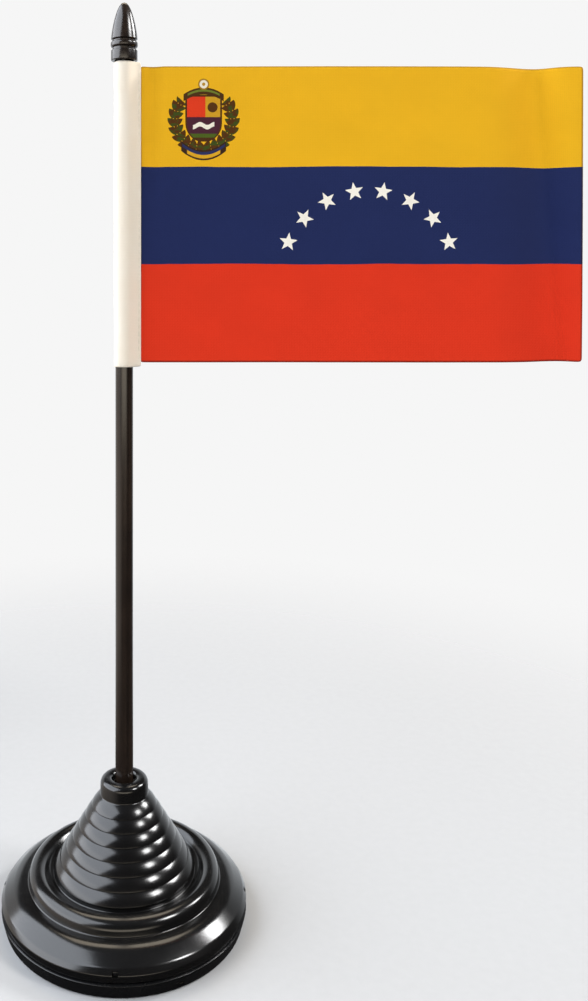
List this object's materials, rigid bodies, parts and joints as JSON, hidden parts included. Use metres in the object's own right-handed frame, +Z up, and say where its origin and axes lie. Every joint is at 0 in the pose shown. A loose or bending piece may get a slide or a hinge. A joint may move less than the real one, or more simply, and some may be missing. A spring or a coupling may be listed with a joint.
{
  "type": "desk flag stand",
  "caption": "Small printed tricolour flag on a slim pole with a pointed finial, standing in a weighted round stepped base for a desk.",
  "frame": {"origin": "centre of the base's flat underside, on the pole's axis", "axes": "+Z up along the pole, +X from the hoist to the fly of the flag, -Y the front"},
  "size_m": [0.1964, 0.082, 0.3071],
  "materials": {
    "base_shell": "glossy moulded black",
    "base_cover": "satin moulded black",
    "ballast": "zinc plated",
    "bush": "matte",
    "pole": "glossy extruded brown-black",
    "finial": "glossy moulded brown-black",
    "sleeve": "woven cream tape",
    "flag": "printed woven polyester, yellow, dark blue and red stripes",
    "thread": "cream sewing thread"
  },
  "bodies": {
    "base": {"base_shell": "base_shell", "base_cover": "base_cover", "ballast_ring": "ballast"},
    "bush": {"grip_bush": "bush"},
    "pole": {"pole_tube": "pole"},
    "tip": {"finial": "finial"},
    "flag": {"hoist_sleeve": "sleeve", "flag_cloth": "flag", "hoist_seam_thread": "thread"}
  },
  "joints": [
    {"name": "pole_turn", "type": "hinge", "parent": "base", "child": "bush", "pos_m": [0, 0, 0.0393], "axis": [0, 0, 1], "continuous": true},
    {"name": "pole_lift", "type": "slide", "parent": "bush", "child": "pole", "axis": [0, 0, 1], "range_m": [0, 0.04]},
    {"name": "finial_pull", "type": "slide", "parent": "pole", "child": "tip", "axis": [0, 0, 1], "range_m": [0, 0.012]},
    {"name": "flag_swivel", "type": "hinge", "parent": "pole", "child": "flag", "pos_m": [0, 0, 0.2354], "axis": [0, 0, 1], "continuous": true}
  ]
}
